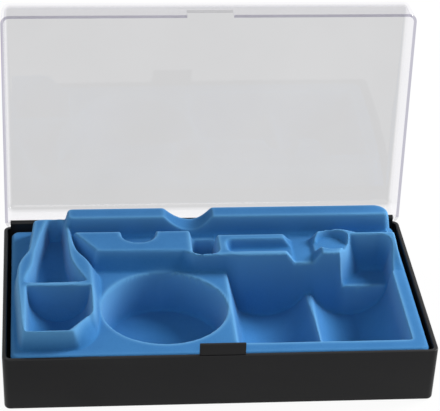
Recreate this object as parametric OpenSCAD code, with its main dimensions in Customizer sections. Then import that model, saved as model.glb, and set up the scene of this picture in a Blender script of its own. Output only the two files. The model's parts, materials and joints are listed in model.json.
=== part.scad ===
// Hinged case with a clear lid and a formed insert, lid drawn open.
// Origin: centre of the underside of the base. +X right, +Y towards the hinge, +Z up.

/* [Base] */
// Outside width of the base at its rim
base_w = 200; // [196:1:204]
// Outside depth of the base at its rim
base_d = 115.5; // [114:0.5:118]
// Height of the rim above the underside
base_h = 28; // [28:0.5:32]
// Thickness of the base walls
base_wall = 2; // [1.6:0.1:2.4]
// Thickness of the base floor
floor_t = 2; // [1.6:0.1:2.2]
// Inward lean of each base wall over its height
base_draft = 0.6; // [0.2:0.1:0.8]
// Corner radius of the base at its rim, in plan
base_corner_r = 3.5; // [3:0.5:5]

/* [Lid] */
// How far each side of the lid stands in from the side of the base
lid_side_step = 0.6; // [0.4:0.1:1]
// Height of the closed lid above the rim of the base
lid_h = 19.5; // [19.5:0.5:24]
// Thickness of the lid
lid_wall = 1.5; // [1.4:0.1:1.6]
// Radius between the top panel and the side walls, outside
lid_fillet_r = 4.2; // [3.5:0.1:5]
// How far the lid front stands out past the base front
lid_overhang = 0.4; // [0.2:0.1:0.8]
// Opening angle of the lid as drawn, degrees
open_angle = 91; // [91:0.5:100]

/* [Hinge] */
// Distance of the hinge axis in front of the rear face
hinge_inset = 1.8; // [1.8:0.05:1.9]
// Height of the hinge axis above the rim
hinge_rise = 2.9; // [2.9:0.1:3.1]
// Gap between each end of the hinge wall and the lid
hinge_end_gap = 1.2; // [1:0.1:1.6]
// Diameter of the stub pins
pin_d = 1.5; // [1.4:0.05:1.5]
// Length of pin held in the hinge wall
pin_grip = 3; // [2.5:0.5:4]

/* [Catch] */
// Width of the catch tab
tab_w = 21.2; // [20:0.2:21.4]
// Height of the catch tab above the rim
tab_rise = 6; // [4:0.5:6]
// Thickness of the catch tab
tab_t = 1.4; // [1.2:0.1:1.6]
// Width of the notch in the lid front
notch_w = 22.3; // [22.2:0.1:23]

/* [Insert] */
// Thickness of the formed sheet
sheet_t = 0.9; // [0.8:0.1:1]
// Height of the flat deck above the underside of the base
deck_z = 27.6; // [27.6:0.1:27.8]
// Height of the middle ridge and of the left plateau
ridge_z = 37.2; // [37:0.1:38]
// Height of the back ridge
back_ridge_z = 41.8; // [41:0.1:42]
// Radius of the round cup at the deck
cup_r = 29.2; // [28.8:0.1:29.4]
// Height of the floor of the round cup
cup_floor_z = 7; // [6:0.5:9]

/* [Hidden] */
$fn = 96;
eps = 0.01;
over = 1;

// Clearances
pin_clear = 0.05;
rim_clear = 0.3;
stop_clear = 0.05;
hinge_end_clear = 0.5;
insert_side_clear = 1.9;
insert_end_clear = 0.45;

// Widths that follow the base
lid_w = base_w - 2 * lid_side_step;
hinge_wall_half = lid_w / 2 - lid_wall - hinge_end_gap;

// Base and hinge
base_front_y = -base_d / 2;
base_back_y = base_d / 2;
hinge_y = base_back_y - hinge_inset;
hinge_z = base_h + hinge_rise;
knuckle_r = 1.5;
hinge_wall_foot = 5;
bore_r = pin_d / 2 + pin_clear;
bore_end_clear = 0.4;
bore_depth = pin_grip + bore_end_clear;
pin_seat = 0.6;
tab_root = 4;
tab_half = tab_w / 2;
tab_set_back = 0.6;

// Lid, drawn closed about the hinge axis and then turned open
lid_reach = base_d - hinge_inset + lid_overhang;
lid_rim_w = rim_clear - hinge_rise;
lid_top_w = lid_h - hinge_rise;
lid_half = lid_w / 2;
lid_corner_r = lid_fillet_r;
lid_hub_r = hinge_rise - rim_clear;
lid_rear_rim_w = (hinge_inset + stop_clear - hinge_inset * cos(open_angle)) / sin(open_angle);
notch_clear = 0.3;
notch_depth = tab_rise + notch_clear;

// Insert outline
insert_left_x = insert_side_clear + base_wall - base_w / 2;
insert_right_x = -insert_left_x;
insert_front_y = base_front_y + base_wall + insert_end_clear;
insert_back_y = hinge_y - knuckle_r - insert_end_clear;
insert_corner_r = 4;
skirt_h = 4;
form_foot = 3;

// Left plateau, trough and pocket; X is counted from the left edge of the insert
plateau_outline = [
  [11.1, 50.5], [9.9, 43], [8, 23.5], [6.5, 18.4], [4.5, 14],
  [2.8, 7.9], [2.3, -1.2], [2.8, -20], [3.9, -40], [5, -48],
  [7.7, -49.4], [28.6, -49.4], [33.4, -46.4], [38, -37], [39.9, -27],
  [40.4, -12], [40.8, 4], [39.9, 11], [36.5, 16], [33, 21.5],
  [30.6, 31.5], [29.1, 43], [27.8, 50.5]
];
pocket_outline = [
  [18.4, 47], [15.2, 35], [12.2, 18.5], [10.6, 4], [9.1, -7.2],
  [31.9, -7.2], [29.4, 4], [27.1, 18.5], [26.3, 35], [24.2, 47]
];
pocket_floor_z = 25.6;
trough_outline = [
  [6.6, -11], [37.6, -11], [37.6, -33], [33.1, -36],
  [30.6, -40.7], [27.4, -47.2], [6.6, -47.2]
];
trough_from_left = 22.2;
trough_x = insert_left_x + trough_from_left;
trough_r = 14.6;
trough_axis_z = 32.8;
trough_top_half = 15.2;

// Back ridge
back_ridge_from_left0 = 28.1;
back_ridge_x0 = insert_left_x + back_ridge_from_left0;
back_ridge_from_right1 = 3.3;
back_ridge_x1 = insert_right_x - back_ridge_from_right1;
back_ridge_y0 = 41.5;
back_ridge_y1 = 52.5;
back_ridge_r = 5;
finger_from_left = 87.5;
finger_x = insert_left_x + finger_from_left;
finger_r = 13.4;
finger_floor_z = 34.5;

// Raised bed of the long trough, carried on under both ridges
bed_z = 31.6;
bed_join = 3;

// Middle ridge
ridge_from_left0 = 30.6;
ridge_x0 = insert_left_x + ridge_from_left0;
ridge_from_right1 = 3.1;
ridge_x1 = insert_right_x - ridge_from_right1;
ridge_y1 = 36.6;
ridge_foot_y = 14.3;
ridge_top_y = 18.9;
ridge_end_from_left = 41.8;
ridge_end_x = insert_left_x + ridge_end_from_left;
ridge_end_splay = 3;
ridge_end_foot_y = 12;
ridge_end_top_y = 19.3;
step_from_left = 102.1;
step_x = insert_left_x + step_from_left;
step_foot_y = 13;
step_top_y = 17;
lowered_y = 32;
bite_from_left = 62.1;
bite_x = insert_left_x + bite_from_left;
bite_r = 7.5;
bite_end_y = 26.5;
channel_from_left0 = 89.1;
channel_x0 = insert_left_x + channel_from_left0;
channel_from_left1 = 100.1;
channel_x1 = insert_left_x + channel_from_left1;
channel_y0 = 15.3;
channel_y1 = 36.3;
channel_floor_z = 20;

// Spoon recess: slot, neck across the ridge and round head
spoon_from_right0 = 87.1;
spoon_x0 = insert_right_x - spoon_from_right0;
spoon_y0 = 19.6;
spoon_y1 = 30;
spoon_floor_z = 32.6;
neck_from_right0 = 56.1;
neck_x0 = insert_right_x - neck_from_right0;
neck_from_right1 = 42.6;
neck_x1 = insert_right_x - neck_from_right1;
head_from_right = 35.1;
head_x = insert_right_x - head_from_right;
head_y = 26.4;
head_r = 8.6;
head_floor_z = 33.4;
boss_rim = 1.6;
boss_r = head_r + boss_rim;

// Round cup
cup_from_left = 71.9;
cup_x = insert_left_x + cup_from_left;
cup_y = -16.7;
cup_lean = 1.2;
cup_floor_r = cup_r - cup_lean;

// Right compartments
comp_y0 = -46;
comp_y1 = 13;
comp_a_from_right = 67.8;
comp_a_x = insert_right_x - comp_a_from_right;
comp_a_r = 20.5;
comp_a_z = 23.5;
comp_b_from_right = 27.1;
comp_b_x = insert_right_x - comp_b_from_right;
comp_b_r = 20;
comp_b_z = 23.2;
rib_from_right = 47.4;
rib_x = insert_right_x - rib_from_right;
rib_z = 17;
rib_half = 2;

// Rear right pocket
corner_pocket_from_right0 = 28.1;
corner_pocket_x0 = insert_right_x - corner_pocket_from_right0;
corner_pocket_from_right1 = 5.1;
corner_pocket_x1 = insert_right_x - corner_pocket_from_right1;
corner_pocket_y1 = 31;
corner_pocket_z = 18.5;
corner_pocket_r = 5;
corner_pocket_slope_run = 6;

black = [0.05, 0.05, 0.055];
clear_tint = [0.86, 0.87, 0.9, 0.35];
flock_blue = [0.2, 0.42, 0.62];

base();
lid();
insert();

// Box with vertical round corners whose walls lean out by taper over the height.
module leaning_box(w, d, h, r, taper) {
  cx = w / 2 - r;
  cy = d / 2 - r;
  for (sx = [-1, 1], sy = [-1, 1])
    translate([sx * cx, sy * cy, 0])
      cylinder(h = h, r1 = r - taper, r2 = r);
  rotate([90, 0, 0])
    translate([0, 0, -cy])
      linear_extrude(2 * cy)
        polygon([[taper - w / 2, 0], [w / 2 - taper, 0], [w / 2, h], [-w / 2, h]]);
  rotate([90, 0, 90])
    translate([0, 0, -cx])
      linear_extrude(2 * cx)
        polygon([[taper - d / 2, 0], [d / 2 - taper, 0], [d / 2, h], [-d / 2, h]]);
}

module base() {
  color(black)
    difference() {
      union() {
        base_shell();
        hinge_wall();
        catch_tab();
      }
      for (side = [-1, 1])
        hinge_bore(side);
    }
}

module base_shell() {
  inner_w = base_w - 2 * base_wall;
  inner_d = base_d - 2 * base_wall;
  inner_r = base_corner_r - base_wall + base_draft;
  difference() {
    leaning_box(base_w, base_d, base_h, base_corner_r, base_draft);
    translate([0, 0, floor_t])
      leaning_box(inner_w, inner_d, base_h - floor_t + eps, inner_r, base_draft);
  }
}

// Raised wall that carries the lid, rounded about the hinge axis.
module hinge_wall() {
  foot_z = base_h - hinge_wall_foot;
  front_y = hinge_y - knuckle_r;
  translate([-hinge_wall_half, front_y, foot_z])
    cube([2 * hinge_wall_half, base_back_y - base_draft - front_y, hinge_z - foot_z]);
  translate([-hinge_wall_half, hinge_y, hinge_z])
    rotate([0, 90, 0])
      cylinder(h = 2 * hinge_wall_half, r = knuckle_r);
}

module hinge_bore(side) {
  translate([side * (hinge_wall_half - bore_depth), hinge_y, hinge_z])
    rotate([0, side * 90, 0])
      cylinder(h = bore_depth + over, r = bore_r);
}

module catch_tab() {
  tab_y = base_front_y + tab_set_back;
  translate([-tab_half, tab_y, base_h - tab_root])
    cube([tab_w, tab_t, tab_root + tab_rise]);
}

// Block with round vertical corners and a round edge along its top, base at z = 0.
module domed_box(w, d, h, r) {
  cx = w / 2 - r;
  cy = d / 2 - r;
  for (sx = [-1, 1], sy = [-1, 1])
    translate([sx * cx, sy * cy, 0])
      rotate_extrude()
        intersection() {
          union() {
            translate([0, h - r])
              circle(r);
            square([r, h - r]);
          }
          square([r, h]);
        }
  rotate([90, 0, 90])
    translate([0, 0, -cx])
      linear_extrude(2 * cx)
        arch(d / 2, h, r);
  rotate([90, 0, 0])
    translate([0, 0, -cy])
      linear_extrude(2 * cy)
        arch(w / 2, h, r);
}

// Outline of half width half and height h with its two upper corners rounded.
module arch(half, h, r) {
  for (side = [-1, 1])
    translate([side * (half - r), h - r])
      circle(r);
  translate([-half, 0])
    square([2 * half, h - r]);
  translate([r - half, 0])
    square([2 * (half - r), h]);
}

module lid() {
  color(clear_tint)
    translate([0, hinge_y, hinge_z])
      rotate([-open_angle, 0, 0])
        closed_lid();
}

// Lid in its closed place, with the hinge axis as the X axis.
module closed_lid() {
  depth = lid_reach + hinge_inset;
  mid_y = hinge_inset - depth / 2;
  height = lid_top_w - lid_rim_w;
  difference() {
    translate([0, mid_y, lid_rim_w])
      domed_box(lid_w, depth, height, lid_corner_r);
    translate([0, mid_y, lid_rim_w - lid_wall])
      domed_box(lid_w - 2 * lid_wall, depth - 2 * lid_wall, height, lid_corner_r - lid_wall);
    rear_relief();
    corner_relief();
    translate([-notch_w / 2, -lid_reach - over, lid_rim_w - over])
      cube([notch_w, lid_wall + 2 * over, notch_depth + over]);
  }
  for (side = [-1, 1])
    hinge_pin(side);
}

// Clears the rear wall of the lid over the hinge wall.
module rear_relief() {
  half = hinge_wall_half + hinge_end_clear;
  translate([-half, -lid_corner_r, lid_rim_w - over])
    cube([2 * half, lid_corner_r + hinge_inset + over, lid_rear_rim_w - lid_rim_w + over]);
}

// Rounds the rear lower corners of the lid about the hinge axis.
module corner_relief() {
  difference() {
    translate([-lid_half - over, 0, lid_rim_w - over])
      cube([lid_w + 2 * over, hinge_inset + over, over - lid_rim_w]);
    translate([-lid_half - 2 * over, 0, 0])
      rotate([0, 90, 0])
        cylinder(h = lid_w + 4 * over, r = lid_hub_r);
  }
}

module hinge_pin(side) {
  pin_end = hinge_wall_half - pin_grip;
  pin_root = hinge_wall_half + hinge_end_clear + pin_seat;
  translate([side * pin_end, 0, 0])
    rotate([0, side * 90, 0])
      cylinder(h = pin_root - pin_end, r = pin_d / 2);
}

// Formed sheet: skin over the raised forms and under the sunk forms.
module insert() {
  color(flock_blue)
    difference() {
      union() {
        deck(0);
        raised_forms(0);
        sunk_forms(sheet_t);
      }
      difference() {
        union() {
          deck(sheet_t);
          raised_forms(sheet_t);
        }
        sunk_forms(sheet_t);
      }
      sunk_forms(0);
    }
}

// Flat deck with a short skirt; inset is the depth under the top skin.
module deck(inset) {
  w = insert_right_x - insert_left_x;
  d = insert_back_y - insert_front_y;
  r = insert_corner_r - inset;
  x0 = insert_left_x + inset + r;
  x1 = insert_right_x - inset - r;
  y0 = insert_front_y + inset + r;
  y1 = insert_back_y - inset - r;
  below = inset > 0 ? over : 0;
  translate([0, 0, deck_z - skirt_h - below])
    linear_extrude(skirt_h - inset + below) {
      for (x = [x0, x1], y = [y0, y1])
        translate([x, y])
          circle(r);
      translate([x0, y0 - r])
        square([x1 - x0, y1 - y0 + 2 * r]);
      translate([x0 - r, y0])
        square([x1 - x0 + 2 * r, y1 - y0]);
    }
}

module raised_forms(inset) {
  plateau(inset);
  back_ridge(inset);
  middle_ridge(inset);
}

module plateau(inset) {
  translate([0, 0, deck_z - form_foot])
    linear_extrude(ridge_z - deck_z + form_foot - inset)
      offset(delta = -inset)
        translate([insert_left_x, 0])
          polygon(plateau_outline);
}

module back_ridge(inset) {
  r = back_ridge_r - inset;
  foot_z = deck_z - form_foot;
  translate([0, 0, foot_z])
    linear_extrude(back_ridge_z - foot_z - inset) {
      translate([back_ridge_x1 - inset - r, back_ridge_y1 - inset - r])
        circle(r);
      translate([back_ridge_x0 + inset, back_ridge_y0 + inset])
        square([back_ridge_x1 - back_ridge_x0 - 2 * inset, back_ridge_y1 - back_ridge_y0 - 2 * inset - r]);
      translate([back_ridge_x0 + inset, back_ridge_y0 + inset])
        square([back_ridge_x1 - back_ridge_x0 - 2 * inset - r, back_ridge_y1 - back_ridge_y0 - 2 * inset]);
    }
}

// Ridge between the long trough and the front forms with the bed behind it, cut by its bite.
module middle_ridge(inset) {
  foot_z = deck_z - form_foot;
  top_z = ridge_z - inset;
  foot_y = ridge_foot_y + inset;
  top_y = ridge_top_y + inset;
  back_y = ridge_y1 - inset;
  difference() {
    union() {
      translate([ridge_x0 + inset, 0, 0])
        ridge_run(step_x - ridge_x0 - inset + eps, foot_y, top_y, back_y, foot_z, top_z);
      translate([step_x + inset, 0, 0])
        ridge_run(ridge_x1 - step_x - 2 * inset, step_foot_y + inset, step_top_y + inset,
          lowered_y - inset, foot_z, top_z);
      translate([head_x, head_y, foot_z])
        cylinder(h = top_z - foot_z, r = boss_r - inset);
      translate([ridge_x0 - bed_join, lowered_y - bed_join, foot_z])
        cube([ridge_x1 - inset - ridge_x0 + bed_join, back_ridge_y0 - lowered_y + 2 * bed_join,
          bed_z - inset - foot_z]);
    }
    translate([0, 0, foot_z - over])
      linear_extrude(ridge_z)
        polygon([[ridge_x0 - over, 0], [ridge_end_x + inset + ridge_end_splay, ridge_end_foot_y],
          [ridge_end_x + inset, ridge_end_top_y], [ridge_x0 + inset, ridge_y1 - over],
          [ridge_x0 - over, ridge_y1 + over]]);
    translate([0, 0, bed_z - inset])
      linear_extrude(ridge_z)
        offset(delta = inset)
          bite_outline();
  }
}

module ridge_run(length, foot_y, top_y, back_y, foot_z, top_z) {
  lean = (top_y - foot_y) / (ridge_z - deck_z);
  rotate([90, 0, 90])
    linear_extrude(length)
      polygon([[foot_y, foot_z], [foot_y, deck_z], [foot_y + lean * (top_z - deck_z), top_z],
        [back_y, top_z], [back_y, foot_z]]);
}

module bite_outline() {
  translate([bite_x, bite_end_y + bite_r])
    circle(bite_r);
  translate([bite_x - bite_r, bite_end_y + bite_r])
    square([2 * bite_r, ridge_y1 - bite_end_y]);
}

// Hollows sunk from the top; skin is the wall left around them.
module sunk_forms(skin) {
  rear_pocket(skin);
  side_trough(skin);
  finger_notch(skin);
  channel(skin);
  spoon(skin);
  round_cup(skin);
  compartments(skin);
  corner_pocket(skin);
}

// Height to which a hollow is cut, or its skin is carried, at a rim.
function rim_top(z, skin) = skin > 0 ? z : z + over;

module rear_pocket(skin) {
  floor_z = pocket_floor_z - skin;
  translate([0, 0, floor_z])
    linear_extrude(rim_top(ridge_z, skin) - floor_z)
      offset(delta = skin)
        translate([insert_left_x, 0])
          polygon(pocket_outline);
}

module side_trough(skin) {
  r = trough_r + skin;
  top_z = rim_top(ridge_z, skin);
  intersection() {
    translate([trough_x, base_back_y, 0])
      rotate([90, 0, 0]) {
        translate([0, trough_axis_z, 0])
          cylinder(h = base_d, r = r);
        linear_extrude(base_d)
          polygon([[-r, trough_axis_z], [r, trough_axis_z],
            [trough_top_half + skin, top_z], [-trough_top_half - skin, top_z]]);
      }
    linear_extrude(top_z)
      offset(delta = skin)
        translate([insert_left_x, 0])
          polygon(trough_outline);
  }
}

module finger_notch(skin) {
  past = skin > 0 ? 0 : over;
  run = back_ridge_y1 - back_ridge_y0 + 2 * past;
  intersection() {
    translate([finger_x, back_ridge_y0 - past, finger_floor_z + finger_r])
      rotate([-90, 0, 0])
        cylinder(h = run, r = finger_r + skin);
    translate([finger_x - 2 * finger_r, back_ridge_y0 - past, deck_z])
      cube([4 * finger_r, run, back_ridge_z - deck_z + past]);
  }
}

// Deep pocket in the ridge, open to the long trough above the bed.
module channel(skin) {
  floor_z = channel_floor_z - skin;
  lane_z = bed_z - skin;
  top_z = rim_top(ridge_z, skin);
  back_y = rim_top(ridge_y1, skin);
  width = channel_x1 - channel_x0 + 2 * skin;
  translate([channel_x0 - skin, channel_y0 - skin, floor_z])
    cube([width, channel_y1 - channel_y0 + 2 * skin, bed_z - floor_z]);
  translate([channel_x0 - skin, channel_y0 - skin, lane_z])
    cube([width, back_y - channel_y0 + skin, top_z - lane_z]);
}

module spoon(skin) {
  top_z = rim_top(ridge_z, skin);
  slot_z = spoon_floor_z - skin;
  head_z = head_floor_z - skin;
  translate([spoon_x0 - skin, spoon_y0 - skin, slot_z])
    cube([neck_x1 - spoon_x0 + 2 * skin, spoon_y1 - spoon_y0 + 2 * skin, top_z - slot_z]);
  translate([head_x, head_y, head_z])
    cylinder(h = top_z - head_z, r = head_r + skin);
  intersection() {
    translate([neck_x0 - skin, step_foot_y - over, bed_z - skin])
      cube([neck_x1 - neck_x0 + 2 * skin, ridge_y1 - step_foot_y + 2 * over, top_z - bed_z + skin]);
    translate([spoon_x0, 0, 0])
      if (skin > 0)
        ridge_run(head_x - spoon_x0, step_foot_y, step_top_y, lowered_y, deck_z - form_foot, ridge_z);
      else
        cube([head_x - spoon_x0, ridge_y1 + over, top_z]);
  }
}

module round_cup(skin) {
  floor_z = cup_floor_z - skin;
  translate([cup_x, cup_y, floor_z])
    cylinder(h = deck_z - floor_z, r1 = cup_floor_r + skin, r2 = cup_r + skin);
  if (skin == 0)
    translate([cup_x, cup_y, deck_z - eps])
      cylinder(h = over, r = cup_r);
}

// Two half-round compartments side by side with a low rib between them.
module compartments(skin) {
  top_z = rim_top(deck_z, skin);
  difference() {
    union() {
      compartment(comp_a_x, comp_a_z, comp_a_r + skin, skin, top_z);
      compartment(comp_b_x, comp_b_z, comp_b_r + skin, skin, top_z);
      translate([rib_x - 2 * rib_half, comp_y0 - skin, rib_z - skin])
        cube([4 * rib_half, comp_y1 - comp_y0 + 2 * skin, top_z - rib_z + skin]);
    }
    if (skin == 0)
      translate([rib_x - rib_half, comp_y0 - over, 0])
        cube([2 * rib_half, comp_y1 - comp_y0 + 2 * over, rib_z]);
  }
}

module compartment(x, axis_z, r, skin, top_z) {
  length = comp_y1 - comp_y0 + 2 * skin;
  translate([x, comp_y1 + skin, axis_z])
    rotate([90, 0, 0])
      intersection() {
        cylinder(h = length, r = r);
        translate([-r - over, -r - over, -over])
          cube([2 * (r + over), r + over + eps, length + 2 * over]);
      }
  translate([x - r, comp_y0 - skin, axis_z])
    cube([2 * r, length, top_z - axis_z]);
}

// Pocket with a sloped left side and a round rear right corner; its skin stays under the ridge.
module corner_pocket(skin) {
  floor_z = corner_pocket_z - skin;
  top_z = rim_top(ridge_z, skin);
  r = corner_pocket_r + skin;
  x0 = corner_pocket_x0 - skin;
  x1 = corner_pocket_x1 + skin;
  y0 = comp_y1 - over;
  y1 = corner_pocket_y1 + skin;
  intersection() {
    translate([0, 0, floor_z])
      linear_extrude(top_z - floor_z) {
        translate([x1 - r, y1 - r])
          circle(r);
        translate([x0, y0])
          square([x1 - x0, y1 - y0 - r]);
        translate([x0, y0])
          square([x1 - x0 - r, y1 - y0]);
      }
    translate([0, y1 + over, 0])
      rotate([90, 0, 0])
        linear_extrude(y1 - y0 + 2 * over)
          polygon([[x0, top_z], [x0, ridge_z], [x0 + corner_pocket_slope_run, floor_z],
            [x1 + over, floor_z], [x1 + over, top_z]]);
    if (skin > 0)
      translate([x0 - over, 0, 0])
        ridge_run(x1 - x0 + 2 * over, step_foot_y, step_top_y, y1 + over, floor_z - over, ridge_z);
    else
      translate([x0 - over, y0 - over, 0])
        cube([x1 - x0 + 2 * over, y1 - y0 + 2 * over, top_z + over]);
  }
}
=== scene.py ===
import json
import math

import bpy
import numpy as np
from mathutils import Matrix, Vector


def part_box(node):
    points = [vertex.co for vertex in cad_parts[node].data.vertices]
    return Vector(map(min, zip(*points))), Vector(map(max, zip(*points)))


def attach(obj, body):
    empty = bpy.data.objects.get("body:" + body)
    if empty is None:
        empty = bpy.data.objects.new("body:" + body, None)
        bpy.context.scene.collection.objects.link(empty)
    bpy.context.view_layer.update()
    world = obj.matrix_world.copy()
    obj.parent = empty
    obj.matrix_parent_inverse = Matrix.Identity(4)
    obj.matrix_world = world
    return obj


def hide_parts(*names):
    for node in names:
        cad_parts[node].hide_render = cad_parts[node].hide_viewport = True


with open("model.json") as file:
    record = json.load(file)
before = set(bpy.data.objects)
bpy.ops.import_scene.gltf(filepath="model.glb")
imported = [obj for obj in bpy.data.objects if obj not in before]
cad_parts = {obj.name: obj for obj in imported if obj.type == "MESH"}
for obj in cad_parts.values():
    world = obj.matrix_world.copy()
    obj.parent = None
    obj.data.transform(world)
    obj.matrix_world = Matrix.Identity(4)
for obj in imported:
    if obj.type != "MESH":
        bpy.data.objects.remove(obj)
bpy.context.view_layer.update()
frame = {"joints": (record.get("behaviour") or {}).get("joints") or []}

MM = 0.001

# Sizes read from the frame
base_lo, base_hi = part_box("base")
insert_lo, insert_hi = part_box("insert")
lid_lo, lid_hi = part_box("lid")
hinge = next(j for j in frame["joints"] if j["name"] == "lid_hinge")
HINGE_Y = hinge["pos_m"][1] / MM
HINGE_Z = hinge["pos_m"][2] / MM
OPEN_ANGLE = hinge["range_deg"][1]

BASE_W = (base_hi.x - base_lo.x) / MM
BASE_D = (base_hi.y - base_lo.y) / MM
LID_W = (lid_hi.x - lid_lo.x) / MM

# Sizes that the frame's boxes don't give, in millimetres, as in the solids
BASE_H = 28.0
BASE_WALL = 2.0
BASE_DRAFT = 0.6
BASE_R = 3.5
KNUCKLE_R = 1.5
HINGE_HALF = 96.7
HINGE_FOOT = 5.0
TAB_W = 21.2
TAB_RISE = 6.0
TAB_ROOT = 4.0
TAB_T = 1.4
TAB_SET_BACK = 0.6
NUB_X0, NUB_X1 = -64.0, -56.0
NUB_T = 0.8
NUB_ROOT = 3.0
NUB_TOP_GAP = 0.35
LID_H = 19.5
LID_WALL = 1.5
LID_R = 4.2
LID_GAP = 0.3
LID_DRAFT = 0.5
NOTCH_W = 22.3
NOTCH_CLEAR = 0.3
STOP_CLEAR = 0.05
HINGE_END_CLEAR = 0.5
PIN_R = 0.75
PIN_CLEAR = 0.05
PIN_GRIP = 3.0
PIN_SEAT = 1.1
BORE_DEPTH = 3.4
DECK = 27.6
RIDGE = 37.2
BACK_RIDGE = 41.8
BED_Z = 31.6
SHEET = 0.9
SKIRT_Z = 23.6
PAST = 3.0


# Mesh tools
SMOOTH_ANGLE = 40


def new_object(name, verts, faces, material, smooth_angle=SMOOTH_ANGLE):
    """A mesh object from vertices in millimetres."""
    mesh = bpy.data.meshes.new(name)
    mesh.from_pydata([(x * MM, y * MM, z * MM) for x, y, z in verts], [], faces)
    mesh.validate()
    mesh.materials.append(material)
    mesh.shade_smooth()
    mesh.set_sharp_from_angle(angle=math.radians(smooth_angle))
    obj = bpy.data.objects.new(name, mesh)
    bpy.context.scene.collection.objects.link(obj)
    return obj


def round_loop(w, d, r, z, cx=0.0, cy=0.0, n=8):
    """Points of a rounded rectangle, anticlockwise from above."""
    r = max(r, 0.05)
    points = []
    for k, (sx, sy) in enumerate([(1, 1), (-1, 1), (-1, -1), (1, -1)]):
        for i in range(n + 1):
            a = math.radians(90 * (k + i / n))
            points.append((cx + sx * (w / 2 - r) + r * math.cos(a),
                           cy + sy * (d / 2 - r) + r * math.sin(a), z))
    return points


def loft(name, loops, material):
    """Closed solid through a run of loops, capped at both ends."""
    n = len(loops[0])
    verts = [p for loop in loops for p in loop]
    faces = [tuple(reversed(range(n)))]
    for k in range(len(loops) - 1):
        a, b = k * n, (k + 1) * n
        for i in range(n):
            j = (i + 1) % n
            faces.append((a + i, a + j, b + j, b + i))
    last = (len(loops) - 1) * n
    faces.append(tuple(range(last, last + n)))
    return new_object(name, verts, faces, material)


def arc(steps, start, end):
    return [math.radians(start + (end - start) * i / steps) for i in range(steps + 1)]


def block(name, lo, hi, r, material, steps=3):
    """Box with small round edges between two corners in millimetres."""
    w, d = hi[0] - lo[0], hi[1] - lo[1]
    cx, cy = (lo[0] + hi[0]) / 2, (lo[1] + hi[1]) / 2
    loops = []
    for a in arc(steps, -90, 0):
        inset = r * (1 - math.cos(a))
        z = lo[2] + r * (1 + math.sin(a))
        loops.append(round_loop(w - 2 * inset, d - 2 * inset, r - inset + 0.06, z, cx, cy, 4))
    for a in arc(steps, 0, 90):
        inset = r * (1 - math.cos(a))
        z = hi[2] - r * (1 - math.sin(a))
        loops.append(round_loop(w - 2 * inset, d - 2 * inset, r - inset + 0.06, z, cx, cy, 4))
    return loft(name, loops, material)


def rod(name, x0, x1, y, z, r, material, n=32):
    """Cylinder along X."""
    verts = []
    for x in (x0, x1):
        for i in range(n):
            a = 2 * math.pi * i / n
            verts.append((x, y + r * math.cos(a), z + r * math.sin(a)))
    faces = [tuple(reversed(range(n))), tuple(range(n, 2 * n))]
    faces += [(i, (i + 1) % n, n + (i + 1) % n, n + i) for i in range(n)]
    return new_object(name, verts, faces, material)


def combine(target, tools, operation):
    """Joins tools to the target or cuts them from it, and removes them."""
    for tool in tools:
        modifier = target.modifiers.new("combine", "BOOLEAN")
        modifier.operation = operation
        modifier.solver = "EXACT"
        modifier.object = tool
        graph = bpy.context.evaluated_depsgraph_get()
        mesh = bpy.data.meshes.new_from_object(target.evaluated_get(graph))
        target.modifiers.clear()
        target.data = mesh
        bpy.data.objects.remove(tool)
    target.data.shade_smooth()
    target.data.set_sharp_from_angle(angle=math.radians(SMOOTH_ANGLE))
    return target


# Materials
def node_material(name):
    material = bpy.data.materials.new(name)
    material.use_nodes = True
    tree = material.node_tree
    tree.nodes.clear()
    out = tree.nodes.new("ShaderNodeOutputMaterial")
    return material, tree, out


def noise(tree, scale, detail, rough):
    """Noise over the object's own coordinates, which are in metres."""
    place = tree.nodes.new("ShaderNodeTexCoord")
    node = tree.nodes.new("ShaderNodeTexNoise")
    node.inputs["Scale"].default_value = scale
    node.inputs["Detail"].default_value = detail
    node.inputs["Roughness"].default_value = rough
    tree.links.new(place.outputs["Object"], node.inputs["Vector"])
    return node.outputs["Fac"]


def ramp(tree, fac, stops):
    node = tree.nodes.new("ShaderNodeValToRGB")
    elements = node.color_ramp.elements
    while len(elements) < len(stops):
        elements.new(0.5)
    for element, (at, colour) in zip(elements, stops):
        element.position = at
        element.color = (*colour, 1)
    tree.links.new(fac, node.inputs["Fac"])
    return node.outputs["Color"]


def mix_colour(tree, fac, a, b):
    node = tree.nodes.new("ShaderNodeMix")
    node.data_type = "RGBA"
    tree.links.new(fac, node.inputs["Factor"])
    for value, socket in ((a, node.inputs["A"]), (b, node.inputs["B"])):
        if isinstance(value, tuple):
            socket.default_value = (*value, 1)
        else:
            tree.links.new(value, socket)
    return node.outputs["Result"]


def bump(tree, height, strength, distance, normal=None):
    node = tree.nodes.new("ShaderNodeBump")
    node.inputs["Strength"].default_value = strength
    node.inputs["Distance"].default_value = distance
    tree.links.new(height, node.inputs["Height"])
    if normal is not None:
        tree.links.new(normal, node.inputs["Normal"])
    return node.outputs["Normal"]


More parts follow.
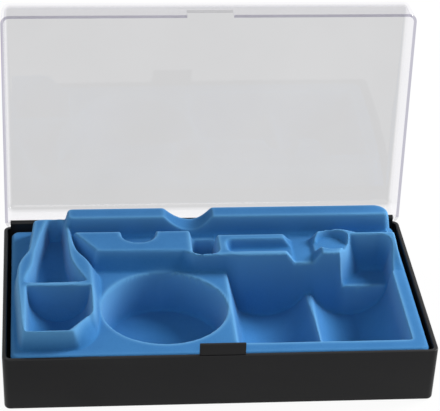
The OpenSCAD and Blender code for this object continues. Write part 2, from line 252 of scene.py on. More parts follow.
def flock_material():
    """Short blue flock: fine pile, soft patches, paler where the edges turn up, from rubbed flock together
    with a painted highlight along the rims.
    """
    material, tree, out = node_material("flock")
    shader = tree.nodes.new("ShaderNodeBsdfPrincipled")
    pile = noise(tree, 2600, 3, 0.7)
    patches = noise(tree, 55, 4, 0.6)
    body = ramp(tree, pile, [(0.28, (0.022, 0.142, 0.375)), (0.72, (0.050, 0.236, 0.545))])
    soft = ramp(tree, patches, [(0.3, (0.026, 0.165, 0.415)), (0.7, (0.044, 0.212, 0.500))])
    blend = tree.nodes.new("ShaderNodeMix")
    blend.data_type = "RGBA"
    blend.inputs["Factor"].default_value = 0.5
    tree.links.new(body, blend.inputs["A"])
    tree.links.new(soft, blend.inputs["B"])
    # Paler blue on the convex rims: rubbed flock plus a painted highlight
    edge = tree.nodes.new("ShaderNodeAttribute")
    edge.attribute_name = "edge"
    colour = mix_colour(tree, edge.outputs["Fac"], blend.outputs["Result"], (0.115, 0.345, 0.640))
    tree.links.new(colour, shader.inputs["Base Color"])
    shader.inputs["Roughness"].default_value = 0.95
    shader.inputs["Specular IOR Level"].default_value = 0.15
    shader.inputs["Sheen Weight"].default_value = 0.30
    shader.inputs["Sheen Roughness"].default_value = 0.45
    shader.inputs["Sheen Tint"].default_value = (0.50, 0.76, 1.0, 1)
    fine = bump(tree, pile, 0.35, 0.0003)
    tree.links.new(bump(tree, patches, 0.15, 0.0006, fine), shader.inputs["Normal"])
    tree.links.new(shader.outputs["BSDF"], out.inputs["Surface"])
    return material


def black_material():
    """Moulded black plastic with a fine spark-eroded grain."""
    material, tree, out = node_material("black_plastic")
    shader = tree.nodes.new("ShaderNodeBsdfPrincipled")
    grain = noise(tree, 1500, 3, 0.6)
    wear = noise(tree, 30, 4, 0.6)
    colour = ramp(tree, wear, [(0.35, (0.0056, 0.0056, 0.0064)), (0.7, (0.0080, 0.0080, 0.0088))])
    tree.links.new(colour, shader.inputs["Base Color"])
    rough = tree.nodes.new("ShaderNodeMapRange")
    rough.inputs["To Min"].default_value = 0.34
    rough.inputs["To Max"].default_value = 0.46
    tree.links.new(wear, rough.inputs["Value"])
    tree.links.new(rough.outputs["Result"], shader.inputs["Roughness"])
    shader.inputs["Specular IOR Level"].default_value = 0.22
    tree.links.new(bump(tree, grain, 0.12, 0.0001), shader.inputs["Normal"])
    tree.links.new(shader.outputs["BSDF"], out.inputs["Surface"])
    return material


def clear_material(name, face, silhouette_shade):
    """Clear moulded plastic: a faint grey seen face on, clear at a slant, and a painted shade that darkens it
    along the silhouette in place of refraction.
    """
    material, tree, out = node_material(name)
    facing = tree.nodes.new("ShaderNodeLayerWeight")
    facing.inputs["Blend"].default_value = 0.35
    haze = noise(tree, 14, 3, 0.6)
    clear = ramp(tree, haze, [(0.35, face[0]), (0.65, face[1])])
    slant = ramp(tree, facing.outputs["Facing"], [(0.12, (0, 0, 0)), (0.36, (1, 1, 1))])
    # Painted shade: darker towards the silhouette, standing in for the darkening that refraction gives
    along = ramp(tree, facing.outputs["Facing"], [(0.70, silhouette_shade[0]), (0.97, silhouette_shade[1])])
    tint = mix_colour(tree, slant, clear, along)
    through = tree.nodes.new("ShaderNodeBsdfTransparent")
    tree.links.new(tint, through.inputs["Color"])
    gloss = tree.nodes.new("ShaderNodeBsdfGlossy")
    gloss.inputs["Roughness"].default_value = 0.03
    gloss.inputs["Color"].default_value = (0.95, 0.95, 0.97, 1)
    fresnel = tree.nodes.new("ShaderNodeFresnel")
    fresnel.inputs["IOR"].default_value = 1.45
    ripple = bump(tree, noise(tree, 9, 1, 0.4), 0.05, 0.002)
    tree.links.new(ripple, gloss.inputs["Normal"])

    # Reflections on the outward faces only, more of them at a slant
    geometry = tree.nodes.new("ShaderNodeNewGeometry")
    front_only = tree.nodes.new("ShaderNodeMath")
    front_only.operation = "MULTIPLY"
    front = tree.nodes.new("ShaderNodeMapRange")
    front.inputs["To Min"].default_value = 1.0
    front.inputs["To Max"].default_value = 0.0
    tree.links.new(geometry.outputs["Backfacing"], front.inputs["Value"])
    tree.links.new(front.outputs["Result"], front_only.inputs[0])
    tree.links.new(fresnel.outputs["Fac"], front_only.inputs[1])
    mix = tree.nodes.new("ShaderNodeMixShader")
    tree.links.new(front_only.outputs["Value"], mix.inputs["Fac"])
    tree.links.new(through.outputs["BSDF"], mix.inputs[1])
    tree.links.new(gloss.outputs["BSDF"], mix.inputs[2])
    tree.links.new(mix.outputs["Shader"], out.inputs["Surface"])
    return material


FLOCK = flock_material()
BLACK = black_material()
CLEAR = clear_material("clear_plastic", ((0.805, 0.805, 0.810), (0.818, 0.818, 0.823)),
                       ((0.975, 0.972, 0.982), (0.84, 0.83, 0.87)))
# Rim faces: a darker, purplish painted shade standing in for the refraction along the rim
CLEAR_RIM_SHADED = clear_material("clear_rim_painted_shade", ((0.56, 0.55, 0.62), (0.62, 0.61, 0.68)),
                           ((0.80, 0.79, 0.85), (0.62, 0.61, 0.68)))


# Base
def build_base():
    r_edge, r_rim, r_floor, n = 1.2, 0.5, 1.5, 4

    def outer(z):
        inset = BASE_DRAFT * (1 - z / BASE_H)
        return BASE_W - 2 * inset, BASE_D - 2 * inset, BASE_R - inset

    def inner(z):
        inset = BASE_WALL + BASE_DRAFT * (BASE_H - z) / (BASE_H - BASE_WALL)
        return BASE_W - 2 * inset, BASE_D - 2 * inset, BASE_R - inset + BASE_DRAFT

    loops = []
    for a in arc(n, -90, 0):
        z = r_edge * (1 + math.sin(a))
        w, d, r = outer(z)
        inset = r_edge * (1 - math.cos(a))
        loops.append(round_loop(w - 2 * inset, d - 2 * inset, r - inset, z))
    for a in arc(n, 0, 90):
        z = BASE_H - r_rim * (1 - math.sin(a))
        w, d, r = outer(z)
        inset = r_rim * (1 - math.cos(a))
        loops.append(round_loop(w - 2 * inset, d - 2 * inset, r - inset, z))
    for a in arc(n, 90, 0):
        z = BASE_H - r_rim * (1 - math.sin(a))
        w, d, r = inner(z)
        out = r_rim * (1 - math.cos(a))
        loops.append(round_loop(w + 2 * out, d + 2 * out, r + out, z))
    for a in arc(n, 0, -90):
        z = BASE_WALL + r_floor * (1 + math.sin(a))
        w, d, r = inner(z)
        inset = r_floor * (1 - math.cos(a))
        loops.append(round_loop(w - 2 * inset, d - 2 * inset, r - inset, z))
    base = loft("base_body", loops, BLACK)

    slab = block("slab", (-HINGE_HALF, HINGE_Y - KNUCKLE_R, BASE_H - HINGE_FOOT),
                 (HINGE_HALF, BASE_D / 2 - BASE_DRAFT, HINGE_Z), 0.05, BLACK, 1)
    knuckle = rod("knuckle", -HINGE_HALF, HINGE_HALF, HINGE_Y, HINGE_Z, KNUCKLE_R, BLACK, 40)
    tab_y = TAB_SET_BACK - BASE_D / 2
    tab = block("tab", (-TAB_W / 2, tab_y, BASE_H - TAB_ROOT),
                (TAB_W / 2, tab_y + TAB_T, BASE_H + TAB_RISE), 0.35, BLACK)
    nub_y = BASE_WALL - BASE_D / 2 - NUB_T / 2
    nub = block("nub", (NUB_X0, nub_y, BASE_H - NUB_ROOT),
                (NUB_X1, nub_y + NUB_T, BASE_H - NUB_TOP_GAP), 0.2, BLACK)
    combine(base, [slab, knuckle, tab, nub], "UNION")
    bores = [rod(f"bore{side}", side * (HINGE_HALF - BORE_DEPTH), side * (HINGE_HALF + 1), HINGE_Y, HINGE_Z,
                 PIN_R + PIN_CLEAR, BLACK) for side in (-1, 1)]
    combine(base, bores, "DIFFERENCE")
    return base


# Lid
def build_lid():
    reach = -lid_front()
    depth = reach + (BASE_D / 2 - HINGE_Y)
    cy = (BASE_D / 2 - HINGE_Y) - depth / 2
    rim, top = LID_GAP - (HINGE_Z - BASE_H), LID_H - (HINGE_Z - BASE_H)
    r_rim, n = 0.25, 6

    def size(z, inset):
        lean = LID_DRAFT * (z - rim) / (top - rim)
        return LID_W - 2 * (inset + lean), depth - 2 * (inset + lean), LID_R - inset

    loops = []
    for a in arc(n, 90, 0):
        z = top - LID_R * (1 - math.sin(a))
        w, d, r = size(z, LID_R * (1 - math.cos(a)))
        loops.append(round_loop(w, d, r, z, 0, cy))
    for a in arc(3, 0, -90):
        z = rim + r_rim * (1 + math.sin(a))
        w, d, r = size(z, r_rim * (1 - math.cos(a)))
        loops.append(round_loop(w, d, r, z, 0, cy))
    for a in arc(3, -90, 0):
        z = rim + r_rim * (1 + math.sin(a))
        w, d, r = size(z, LID_WALL - r_rim * (1 - math.cos(a)))
        loops.append(round_loop(w, d, r, z, 0, cy))
    inner_r = LID_R - LID_WALL
    for a in arc(n, 0, 90):
        z = top - LID_WALL - inner_r * (1 - math.sin(a))
        w, d, r = size(z, LID_WALL + inner_r * (1 - math.cos(a)))
        loops.append(round_loop(w, d, r, z, 0, cy))
    loops.reverse()
    lid = loft("lid_cover", loops, CLEAR)

    inset = BASE_D / 2 - HINGE_Y
    angle = math.radians(OPEN_ANGLE)
    rear_rim = (inset + STOP_CLEAR - inset * math.cos(angle)) / math.sin(angle)
    rear_half = HINGE_HALF + HINGE_END_CLEAR
    rear = block("rear", (-rear_half, -LID_R, rim - PAST), (rear_half, inset + 2, rear_rim), 0.05, CLEAR, 1)
    notch = block("notch", (-NOTCH_W / 2, -reach - 2, rim - PAST),
                  (NOTCH_W / 2, -reach + LID_WALL + 1.2, rim + TAB_RISE + NOTCH_CLEAR), 0.4, CLEAR)
    corner = block("corner", (-LID_W, 0, rim - PAST), (LID_W, inset + 2, 0), 0.05, CLEAR, 1)
    hub = rod("hub", -LID_W, LID_W, 0, 0, -rim, CLEAR, 64)
    combine(corner, [hub], "DIFFERENCE")
    combine(lid, [rear, notch, corner], "DIFFERENCE")
    pins = [rod(f"pin{side}", side * (HINGE_HALF - PIN_GRIP), side * (HINGE_HALF + PIN_SEAT), 0, 0, PIN_R,
                CLEAR) for side in (-1, 1)]
    combine(lid, pins, "UNION")

    # Darker tint on the rim faces, a painted shade in place of the refraction along the rim, then the turn
    # about the hinge
    lid.data.materials.append(CLEAR_RIM_SHADED)
    for face in lid.data.polygons:
        if face.center.z < (rim + r_rim) * MM and face.center.y < -LID_WALL * MM:
            face.material_index = 1
    turn = Matrix.Translation((0, HINGE_Y * MM, HINGE_Z * MM)) @ Matrix.Rotation(-angle, 4, "X")
    lid.data.transform(turn)
    return lid


def lid_front():
    """Front face of the closed lid, measured from the hinge axis."""
    a = math.radians(OPEN_ANGLE)
    return -((lid_hi.z / MM - HINGE_Z) + (LID_GAP - (HINGE_Z - BASE_H)) * math.cos(a)) / math.sin(a)


# Insert
def spline(points, n):
    """Closed smooth curve through the points."""
    p = np.array(points, float)
    t = np.linspace(0, 1, n, endpoint=False)[:, None]
    out = []
    for i in range(len(p)):
        a, b, c, d = p[i - 1], p[i], p[(i + 1) % len(p)], p[(i + 2) % len(p)]
        out.append(0.5 * (2 * b + (c - a) * t + (2 * a - 5 * b + 4 * c - d) * t ** 2
                          + (3 * b - a - 3 * c + d) * t ** 3))
    return np.concatenate(out)


def inside(points, x, y):
    """Signed distance to a closed outline, positive inside."""
    p = np.asarray(points, float)
    best = np.full(x.shape, 1e18)
    sign = np.zeros(x.shape, bool)
    for a, b in zip(p, np.roll(p, -1, axis=0)):
        ex, ey = b - a
        px, py = x - a[0], y - a[1]
        t = np.clip((px * ex + py * ey) / max(ex * ex + ey * ey, 1e-12), 0, 1)
        best = np.minimum(best, (px - t * ex) ** 2 + (py - t * ey) ** 2)
        if a[1] != b[1]:
            crosses = (a[1] > y) != (b[1] > y)
            sign ^= crosses & (px < (y - a[1]) * ex / (b[1] - a[1]))
    return np.where(sign, 1, -1) * np.sqrt(best)


def inside_box(x, y, x0, x1, y0, y1, r):
    qx = np.abs(x - (x0 + x1) / 2) - ((x1 - x0) / 2 - r)
    qy = np.abs(y - (y0 + y1) / 2) - ((y1 - y0) / 2 - r)
    return r - np.hypot(np.maximum(qx, 0), np.maximum(qy, 0)) - np.minimum(np.maximum(qx, qy), 0)


def ramp_up(s, low, high, lean, r):
    """Height of a wall that climbs from low at s = 0 to high at s = lean, with a round top of radius r.
    With high below low it is a wall that falls to a floor, and r rounds its foot."""
    sign = 1 if high > low else -1
    h = abs(high - low)
    angle = math.atan2(h, lean)
    t = r * math.tan(angle / 2)
    z = np.minimum(h * s / lean, h)
    turn = (s > lean - t * math.cos(angle)) & (s < lean + t)
    z = np.where(turn, h - r + np.sqrt(np.maximum(r * r - (lean + t - s) ** 2, 0)), z)
    return low + sign * z


def between(outer, inner, x, y):
    """0 on and outside the outer outline, 1 on and inside the inner one."""
    a = np.maximum(inside(outer, x, y), 0)
    b = np.maximum(-inside(inner, x, y), 0)
    return a / np.maximum(a + b, 1e-9)


def bowl(d, r, z):
    """Half-round section of radius r about height z, carried on upwards as steep sides."""
    round_part = z - np.sqrt(np.maximum(r * r - d * d, 0))
    side = z + (np.abs(d) - r * 0.995) * 12
    return np.where(np.abs(d) < r * 0.995, round_part, side)


def soft_min(a, b, k):
    h = np.clip(0.5 + 0.5 * (b - a) / k, 0, 1)
    return b + (a - b) * h - k * h * (1 - h)


def soft_max(a, b, k):
    return -soft_min(-a, -b, k)


X0, X1 = insert_lo.x / MM, insert_hi.x / MM
Y0, Y1 = insert_lo.y / MM, insert_hi.y / MM
CORNER_R = 4.0

# Outlines of the forms on the deck, and of the pocket in the left plateau
PLATEAU_TOP = [
    (-84.4, 48.4), (-85.5, 42.9), (-87.5, 23.5), (-89.0, 18.6), (-91.0, 14.2), (-92.7, 7.9),
    (-93.3, -1.2), (-93.2, -8.0), (-92.7, -18), (-92.2, -27), (-91.5, -40), (-90.6, -46.6),
    (-88.4, -48.6), (-78, -48.9), (-69.0, -49.0), (-66.4, -47.2), (-62.6, -40.0), (-60.2, -35.6),
    (-57.4, -32.6), (-57.0, -20), (-57.4, -12), (-57.8, -2.4), (-58.2, 4.6), (-59.2, 9.6),
    (-61.4, 14.4), (-64.6, 20.4), (-66.6, 30), (-67.8, 42.4), (-69.2, 48.6), (-76, 49.4)
]
PLATEAU_FOOT = [
    (-85.4, 50.2), (-86.7, 43), (-88.7, 23.5), (-90.1, 18.2), (-92.2, 14), (-93.8, 7.9),
    (-94.3, -1.2), (-94.2, -8.0), (-93.7, -18), (-93.3, -27), (-92.7, -40), (-91.6, -48),
    (-88.4, -49.9), (-78, -50.1), (-67.0, -50.0), (-63.6, -48.6), (-59.4, -44.6), (-56.4, -38.0),
    (-55.2, -27), (-54.4, -16), (-53.9, -8), (-53.5, 0), (-53.5, 8), (-55.0, 13.6),
    (-58.4, 18.4), (-62.2, 24.4), (-64.6, 33), (-66.4, 44), (-68.2, 50.4), (-76, 50.8)
]
POCKET_RIM = [
    (-77.9, 47.8), (-79.1, 43.7), (-81.2, 35.3), (-82.9, 27), (-84.3, 18.8), (-85.0, 10.8),
    (-86.2, 5.5), (-88.0, 0.3), (-89.2, -5), (-88.6, -7.2), (-75, -7.2), (-62.0, -7.2),
    (-61.0, -5.6), (-63.5, 0.4), (-65.7, 5.8), (-67.7, 12), (-68.6, 18.4), (-69.1, 26.6),
    (-69.5, 34.9), (-70.1, 41.0), (-71.6, 47.6)
]
POCKET_FLOOR = [
    (-77.4, 46.4), (-78.9, 42), (-80.6, 34.6), (-82.2, 26.4), (-83.4, 18.3), (-84.2, 10),
    (-84.8, 2), (-84.8, -5.4), (-67.4, -5.4), (-67.8, 2), (-68.5, 10), (-69.4, 18),
    (-70.0, 26), (-70.4, 34), (-70.9, 41), (-72.2, 46.2)
]
RIDGE_FOOT = [
    (-69.3, 38.6), (-57.4, 14.6), (-40, 14.0), (-12, 13.6), (-4, 12.9), (6, 12.8),
    (95.2, 12.6), (94.6, 34.0), (75, 34.0), (70.5, 36.2), (66, 37.6), (60, 37.8),
    (55, 36.4), (51, 37.2), (41, 37.0), (37, 33.6), (5, 33.6), (0, 37.8),
    (-66, 38.0)
]
RIDGE_TOP = [
    (-65.6, 36.2), (-54.6, 19.2), (-40, 18.8), (-13, 18.4), (-7, 14.6), (-3, 13.8),
    (10, 13.6), (16, 13.4), (93.2, 13.4), (93.2, 32.8), (74.4, 32.8), (70.0, 35.0),
    (66, 36.4), (60, 36.6), (56.0, 35.2), (52.0, 33), (40.0, 33), (36.6, 32.2),
    (5, 32.2), (-3, 36.6), (-65.0, 36.8)
]

# Places and sizes of the other forms
FAR = 99.0
BACK_X0, BACK_X1, BACK_Y0, BACK_Y1 = -70.6, 93.6, 39.7, 53.4
BACK_CORNER_R = 9.0
FINGER_X, FINGER_Z = -7.3, 34.5
BED_X0, BED_X1, BED_Y0, BED_Y1 = -68.0, 93.0, 31.0, 41.8
BED_FILLET = 6.0
RIDGE_FALL_X = 84.0
POCKET_Z = 25.6
TROUGH_X, TROUGH_R, TROUGH_AXIS = -73.9, 14.6, 32.8
TROUGH_REAR, TROUGH_FRONT = -11.0, -47.2
CHANNEL_Z = 20.0
SLOT_Z, HEAD_Z = 32.4, 33.2
HEAD_X, HEAD_Y, HEAD_R = 61.0, 27.0, 9.2
CUP_X, CUP_Y, CUP_R, CUP_Z = -24.2, -16.7, 29.4, 7.0
COMP_REAR, COMP_REAR_Z = 12.9, 2.6
COMP_FRONT, COMP_FRONT_Z = -46.6, 2.9
RIB_X = 48.6
CORNER_POCKET_Z = 18.0
CORNER_POCKET_Y0 = 11.2


def raised_forms(x, y):
    """Plateau, ridges and the raised bed between them, over the deck."""
    z = DECK + (RIDGE - DECK) * between(spline(PLATEAU_FOOT, 4), spline(PLATEAU_TOP, 4), x, y)

    # Back ridge with a round corner and a finger notch that is wider on its left
    corner_x, corner_y = BACK_X1 - BACK_CORNER_R, BACK_Y1 - BACK_CORNER_R
    corner = BACK_CORNER_R - np.hypot(np.maximum(x - corner_x, 0), np.maximum(y - corner_y, 0))
    back = inside_box(x, y, BACK_X0, BACK_X1, BACK_Y0, BACK_Y1, 4.5)
    back = np.minimum(back, np.where((x > corner_x) & (y > corner_y), corner, FAR))
    ridge = ramp_up(back, DECK, BACK_RIDGE, 1.9, 1.4)
    dx = x - FINGER_X
    notch = FINGER_Z + dx * dx / np.where(dx < 0, 25.0, 15.0)
    z = np.maximum(z, soft_min(ridge, notch, 0.8))

    # Bed of the long trough, rounded up to the back ridge
    rise = np.clip(y - BED_Y1 + BED_FILLET, 0, BED_FILLET)
    bed = BED_Z + BED_FILLET - np.sqrt(BED_FILLET ** 2 - rise ** 2)
    run = inside_box(x, y, BED_X0, BED_X1, BED_Y0, BED_Y1, 1.0)
    z = np.where(run > 0, np.maximum(z, np.minimum(bed, DECK + run * 4)), z)

    # Middle ridge, which falls to the deck at its right end
    middle = DECK + (RIDGE - DECK) * between(RIDGE_FOOT, RIDGE_TOP, x, y)
    climb = np.clip((y - 11.0) / 20.0, 0, 1)
    fall = DECK + (RIDGE - DECK) * climb * climb * (3 - 2 * climb)
    middle = np.where(x > RIDGE_FALL_X, np.minimum(middle, fall), middle)
    return np.maximum(z, middle)


def plateau_hollows(x, y, z):
    """Funnel-shaped pocket and half-round trough of the left plateau, with a rib between them."""
    funnel = between(spline(POCKET_RIM, 3), spline(POCKET_FLOOR, 3), x, y)
    z = np.where(funnel > 0, np.minimum(z, RIDGE - (RIDGE - POCKET_Z) * funnel), z)
    trough = bowl(x - TROUGH_X, TROUGH_R, TROUGH_AXIS)
    trough = np.maximum(trough, ramp_up(TROUGH_REAR - y, RIDGE, 10, 1.4, 1.0))
    trough = np.maximum(trough, ramp_up(y - TROUGH_FRONT, RIDGE, 10, 1.0, 1.0))
    bevel = (x + 59.2) * -0.80 + (y + 33.4) * 0.60
    trough = np.maximum(trough, ramp_up(np.where(y < -30, bevel, FAR), RIDGE, 10, 2.6, 1.5))
    return np.minimum(z, trough)


def ridge_hollows(x, y, z):
    """Bite, channel and spoon recess of the middle ridge."""
    before_back_ridge = y < BACK_Y0 - 0.7
    bite = inside_box(x, y, -42.6, -25.4, 26.4, 60, 8.4)
    z = np.where(before_back_ridge, np.minimum(z, ramp_up(bite, RIDGE, BED_Z, 1.2, 1.0)), z)
    lane = inside_box(x, y, -8.6, 4.6, 15.4, 60, 4.0)
    z = np.where(before_back_ridge, np.minimum(z, ramp_up(lane, RIDGE, BED_Z, 1.2, 0.8)), z)
    channel = inside_box(x, y, -8.0, 4.0, 16.0, 36.3, 3.0)
    z = np.minimum(z, ramp_up(channel, RIDGE, CHANNEL_Z, 1.4, 0.8))

    # Spoon recess: slot, neck across the ridge, round head open to the neck
    slot = inside_box(x, y, 8.6, 50, 16.7, 27.9, 3.4)
    z = np.minimum(z, ramp_up(slot, RIDGE, SLOT_Z, 1.6, 1.2))
    neck = inside_box(x, y, 37.4, 55.0, 5, 60, 3.0)
    on_ridge = (y < 38.5) & (y > 13.0)
    z = np.where(on_ridge, np.minimum(z, ramp_up(neck, RIDGE, BED_Z, 4.2, 1.5)), z)
    head = HEAD_R - np.hypot(x - HEAD_X, y - HEAD_Y)
    head = np.maximum(head, inside_box(x, y, 43.0, 62.0, 20.2, 30.6, 3.0))
    return np.minimum(z, ramp_up(head, RIDGE, HEAD_Z, 1.6, 1.0))


def deck_hollows(x, y, z):
    """Round cup, the two compartments with their rib, and the rear right pocket."""
    cup = CUP_R - np.hypot(x - CUP_X, y - CUP_Y)
    z = np.minimum(z, ramp_up(cup, DECK, CUP_Z, 1.3, 1.6))

    # Compartments: the left one has a straight leaning wall, the rib falls towards the back
    rib = 14.4 + 5.6 * np.clip((13 - y) / 59, 0, 1)
    left_wall = DECK - (x - 8.0) * 3.55
    left = soft_max(left_wall, bowl(x - 26.5, 24.0, 27.0), 2.5)
    pair = soft_min(np.where(x < RIB_X, left, FAR), bowl(x - 68.6, 19.8, 22.4), 0.8)
    pair = np.where(np.abs(x - RIB_X) < 6, soft_min(pair, rib, 1.0), pair)
    pair = np.maximum(pair, ramp_up(COMP_REAR - y, DECK, COMP_REAR_Z, 1.6, 1.2))
    pair = np.maximum(pair, ramp_up(y - COMP_FRONT, DECK, COMP_FRONT_Z, 1.2, 1.2))
    z = np.minimum(z, pair)

    # Rear right pocket: its left side leans more towards the back
    back_share = np.clip((y - 13.0) / 18.0, 0, 1)
    fall = np.clip((x - 63.4 - 7.0 * back_share) / (2.2 + 6.5 * back_share), 0, 1)
    slope = RIDGE - (RIDGE - CORNER_POCKET_Z) * fall * (1.6 - 0.6 * fall)
    corner = ramp_up(inside_box(x, y, 40, 91.2, 0, 30.8, 7.0), RIDGE, CORNER_POCKET_Z, 3.2, 3.0)
    pocket = soft_max(slope, corner, 1.2)
    return np.where((y > CORNER_POCKET_Y0) & (x > 62.5), np.minimum(z, pocket), z)


def insert_height(x, y):
    """Top surface of the formed sheet, in millimetres."""
    z = raised_forms(x, y)
    z = plateau_hollows(x, y, z)
    z = ridge_hollows(x, y, z)
    return deck_hollows(x, y, z)


# Height map and mesh of the sheet
STEP = 0.25
COLS, ROWS = 373, 211
SOFTEN = 0.4
ROLL_R = 1.6
EDGE_REACH = 1.0
EDGE_SPREAD = 0.6
EDGE_GAIN = 1.3
CROWD_X, CROWD_Y = 0.35, 0.55
CLIMB_WEIGHT = 0.8
RELAX = 0.6


def blur(z, sigma):
    """Gaussian blur of a height map, sigma in cells."""
    reach = int(3 * sigma) + 1
    kernel = np.exp(-0.5 * (np.arange(-reach, reach + 1) / sigma) ** 2)
    kernel /= kernel.sum()
    for axis in (0, 1):
        pad = [(reach, reach) if k == axis else (0, 0) for k in (0, 1)]
        wide = np.pad(z, pad, mode="edge")
        n = z.shape[axis]
        z = sum(w * np.take(wide, range(k, k + n), axis=axis) for k, w in enumerate(kernel))
    return z


def sampler(grid, step):
    """Bilinear reader of a height map laid over the insert."""
    rows, cols = grid.shape

    def read(x, y):
        u = np.clip((x - X0) / step, 0, cols - 1.001)
        v = np.clip((y - Y0) / step, 0, rows - 1.001)
        i, j = u.astype(int), v.astype(int)
        a, b = u - i, v - j
        return ((grid[j, i] * (1 - a) + grid[j, i + 1] * a) * (1 - b)
                + (grid[j + 1, i] * (1 - a) + grid[j + 1, i + 1] * a) * b)
    return read


def edge_roll(x, y):
    """Drop of the sheet where it turns down at its outer edge."""
    d = np.clip(inside_box(x, y, X0, X1, Y0, Y1, CORNER_R), 0, ROLL_R)
    return ROLL_R - np.sqrt(ROLL_R * ROLL_R - (ROLL_R - d) ** 2)


def insert_grid(read, cols, rows):
    """Grid over the insert whose lines crowd towards its edges and onto the steep walls."""
    s = np.linspace(0, 1, cols)
    t = np.linspace(0, 1, rows)
    t = t - CROWD_Y * np.sin(2 * math.pi * t) / (2 * math.pi)
    s = s - CROWD_X * np.sin(2 * math.pi * s) / (2 * math.pi)
    y = Y0 + (Y1 - Y0) * t
    off = np.maximum(CORNER_R - np.minimum(y - Y0, Y1 - y), 0)
    cut = CORNER_R - np.sqrt(np.maximum(CORNER_R ** 2 - off ** 2, 0))
    x = (X0 + cut)[:, None] + ((X1 - X0) - 2 * cut)[:, None] * s[None, :]
    y = np.repeat(y[:, None], cols, axis=1)
    for _ in range(90):
        z = read(x, y)
        flat = [np.hypot(np.diff(x, axis=k), np.diff(y, axis=k)) for k in (0, 1)]
        up, right = (np.hypot(flat[k], CLIMB_WEIGHT * np.diff(z, axis=k)) for k in (0, 1))
        wl, wr = right[1:-1, :-1], right[1:-1, 1:]
        wd, wu = up[:-1, 1:-1], up[1:, 1:-1]
        total = wl + wr + wd + wu
        for a in (x, y):
            mean = (wl * a[1:-1, :-2] + wr * a[1:-1, 2:] + wd * a[:-2, 1:-1] + wu * a[2:, 1:-1]) / total
            a[1:-1, 1:-1] += RELAX * (mean - a[1:-1, 1:-1])
    return x, y, read(x, y)


def grid_faces(index, flip=False):
    a, b, c, d = index[:-1, :-1], index[:-1, 1:], index[1:, 1:], index[1:, :-1]
    order = (a, d, c, b) if flip else (a, b, c, d)
    return np.stack([k.ravel() for k in order], axis=1).tolist()


def border(index):
    """Indices round the edge of a grid, anticlockwise from above."""
    return np.concatenate([index[0, :-1], index[:-1, -1], index[-1, :0:-1], index[:0:-1, 0]])


def build_insert():
    xs = np.arange(X0, X1 + STEP, STEP)
    ys = np.arange(Y0, Y1 + STEP, STEP)
    grid = np.meshgrid(xs, ys)
    heights = blur(insert_height(*grid) - edge_roll(*grid), SOFTEN / STEP)
    wide = blur(heights, EDGE_REACH / STEP)
    slope_y, slope_x = np.gradient(heights, STEP)
    # Convex rims, made lighter in the flock colour: rubbed flock plus a painted highlight
    rim_wear_and_highlight = sampler(blur(np.clip((heights - wide) * EDGE_GAIN, 0, 1), EDGE_SPREAD / STEP), STEP)
    x, y, z = insert_grid(sampler(heights, STEP), COLS, ROWS)
    top = np.stack([x, y, z], axis=2)
    normal = np.stack([-sampler(slope_x, STEP)(x, y), -sampler(slope_y, STEP)(x, y), np.ones_like(x)], axis=2)
    normal /= np.linalg.norm(normal, axis=2, keepdims=True)

    # Underside: every second grid line, one sheet thickness down the normal
    under = (top - normal * SHEET)[::2, ::2].copy()
    cx0, cx1, cy0, cy1 = X0 + SHEET, X1 - SHEET, Y0 + SHEET, Y1 - SHEET
    under[:, :, 0] = np.clip(under[:, :, 0], cx0, cx1)
    under[:, :, 1] = np.clip(under[:, :, 1], cy0, cy1)
    n_top = COLS * ROWS
    index_top = np.arange(n_top).reshape(ROWS, COLS)
    index_under = n_top + np.arange(under.shape[0] * under.shape[1]).reshape(under.shape[:2])
    verts = [*map(tuple, top.reshape(-1, 3)), *map(tuple, under.reshape(-1, 3))]
    faces = grid_faces(index_top) + grid_faces(index_under, flip=True)

    # Skirt: straight down from both borders, closed along the bottom
    outer, inner = border(index_top), border(index_under)
    outer_foot = len(verts) + np.arange(len(outer))
    verts += [(verts[k][0], verts[k][1], SKIRT_Z) for k in outer]
    inner_foot = len(verts) + np.arange(len(inner))
    verts += [(verts[k][0], verts[k][1], SKIRT_Z) for k in inner]
    for k in range(len(outer)):
        m = (k + 1) % len(outer)
        faces.append((outer[k], outer_foot[k], outer_foot[m], outer[m]))
    for k in range(len(inner)):
        m = (k + 1) % len(inner)
        faces.append((inner[m], inner_foot[m], inner_foot[k], inner[k]))
        a, b, c = outer_foot[2 * k], outer_foot[2 * k + 1], outer_foot[(2 * k + 2) % len(outer)]
        faces += [(inner_foot[k], b, a), (inner_foot[k], inner_foot[m], b), (inner_foot[m], c, b)]
    faces = [tuple(int(i) for i in f) for f in faces]
    insert = new_object("insert_sheet", verts, faces, FLOCK, 60)
    shading = np.zeros((len(verts), 3))
    shading[:n_top] = normal.reshape(-1, 3)
    insert.data.normals_split_custom_set_from_vertices(shading.tolist())
    shade = np.zeros(len(verts), np.float32)
    shade[:n_top] = rim_wear_and_highlight(x, y).ravel()
    insert.data.attributes.new("edge", "FLOAT", "POINT").data.foreach_set("value", shade)
    return insert


base = build_base()
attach(base, "base")
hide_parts("base")

lid = build_lid()
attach(lid, "lid")
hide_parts("lid")

insert = build_insert()
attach(insert, "base")
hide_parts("insert")


# Stage, light, camera
FLOOR_WHITE = 0.95
FLOOR_HALF = 1.6
LIGHT_AIM = Vector((0, 0, 0.02))
CAMERA_AT = Vector((-0.08130, -0.76363, 0.53121))


def seen_directly(tree):
    """1 for what the camera sees, also by a reflection or through clear plastic."""
    path = tree.nodes.new("ShaderNodeLightPath")
    total = path.outputs["Is Camera Ray"]
    for name in ("Is Glossy Ray", "Is Transmission Ray"):
        add = tree.nodes.new("ShaderNodeMath")
        add.operation = "MAXIMUM"
        tree.links.new(total, add.inputs[0])
        tree.links.new(path.outputs[name], add.inputs[1])
        total = add.outputs["Value"]
    return total


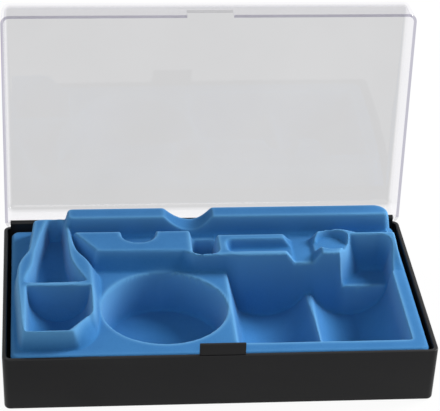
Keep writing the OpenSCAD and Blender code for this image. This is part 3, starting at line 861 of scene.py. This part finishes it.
def build_floor():
    material, tree, out = node_material("floor")
    shader = tree.nodes.new("ShaderNodeBsdfDiffuse")
    paper = noise(tree, 40, 3, 0.5)
    pale = ramp(tree, paper, [(0.3, (0.90, 0.90, 0.90)), (0.7, (0.93, 0.93, 0.93))])
    tree.links.new(pale, shader.inputs["Color"])
    white = tree.nodes.new("ShaderNodeEmission")
    white.inputs["Color"].default_value = (1, 1, 1, 1)
    white.inputs["Strength"].default_value = 1.0
    paler = tree.nodes.new("ShaderNodeMixShader")
    paler.inputs["Fac"].default_value = FLOOR_WHITE
    tree.links.new(shader.outputs["BSDF"], paler.inputs[1])
    tree.links.new(white.outputs["Emission"], paler.inputs[2])
    mix = tree.nodes.new("ShaderNodeMixShader")
    tree.links.new(seen_directly(tree), mix.inputs["Fac"])
    tree.links.new(shader.outputs["BSDF"], mix.inputs[1])
    tree.links.new(paler.outputs["Shader"], mix.inputs[2])
    tree.links.new(mix.outputs["Shader"], out.inputs["Surface"])
    half = FLOOR_HALF
    mesh = bpy.data.meshes.new("floor")
    corners = [(-half, -half, 0), (half, -half, 0), (half, half, 0), (-half, half, 0)]
    mesh.from_pydata(corners, [], [(0, 1, 2, 3)])
    mesh.materials.append(material)
    floor = bpy.data.objects.new("floor", mesh)
    bpy.context.scene.collection.objects.link(floor)


def build_world():
    world = bpy.data.worlds.new("studio")
    bpy.context.scene.world = world
    world.use_nodes = True
    tree = world.node_tree
    tree.nodes.clear()
    out = tree.nodes.new("ShaderNodeOutputWorld")
    soft = tree.nodes.new("ShaderNodeBackground")
    soft.inputs["Color"].default_value = (0.95, 0.97, 1.0, 1)
    soft.inputs["Strength"].default_value = 0.14
    white = tree.nodes.new("ShaderNodeBackground")
    white.inputs["Color"].default_value = (1, 1, 1, 1)
    white.inputs["Strength"].default_value = 1.0
    mix = tree.nodes.new("ShaderNodeMixShader")
    tree.links.new(seen_directly(tree), mix.inputs["Fac"])
    tree.links.new(soft.outputs["Background"], mix.inputs[1])
    tree.links.new(white.outputs["Background"], mix.inputs[2])
    tree.links.new(mix.outputs["Shader"], out.inputs["Surface"])


def area_light(name, at, size, watts):
    data = bpy.data.lights.new(name, "AREA")
    data.shape = "DISK"
    data.size = size
    data.energy = watts
    light = bpy.data.objects.new(name, data)
    light.location = at
    light.rotation_mode = "QUATERNION"
    light.rotation_quaternion = (LIGHT_AIM - Vector(at)).to_track_quat("-Z", "Y")
    bpy.context.scene.collection.objects.link(light)


def build_camera():
    """Camera fitted to the photo, with its focal length in pixels of a picture 440 px wide."""
    focal_px, width_px, sensor_mm = 1909.13, 440, 36
    yaw, elevation, roll = map(math.radians, (6.23, 30.81, -2.38))
    level = math.cos(elevation)
    forward = Vector((math.sin(yaw) * level, math.cos(yaw) * level, -math.sin(elevation)))
    right = Vector((math.cos(yaw), -math.sin(yaw), 0))
    down = forward.cross(right)
    across = right * math.cos(roll) + down * math.sin(roll)
    below = -right * math.sin(roll) + down * math.cos(roll)
    data = bpy.data.cameras.new("camera")
    data.sensor_width = sensor_mm
    data.lens = focal_px / width_px * sensor_mm
    data.clip_start, data.clip_end = 0.05, 20
    camera = bpy.data.objects.new("camera", data)
    turn = Matrix((across, -below, -forward)).transposed().to_4x4()
    camera.matrix_world = Matrix.Translation(CAMERA_AT) @ turn
    bpy.context.scene.collection.objects.link(camera)
    bpy.context.scene.camera = camera


build_floor()
build_world()
area_light("right", (1.0, 0.36, 0.72), 0.6, 22)
area_light("left", (-1.0, 0.25, 0.62), 0.8, 3)
area_light("front", (-0.2, -1.1, 0.9), 0.9, 4)
build_camera()
bpy.context.scene.view_settings.view_transform = "Standard"
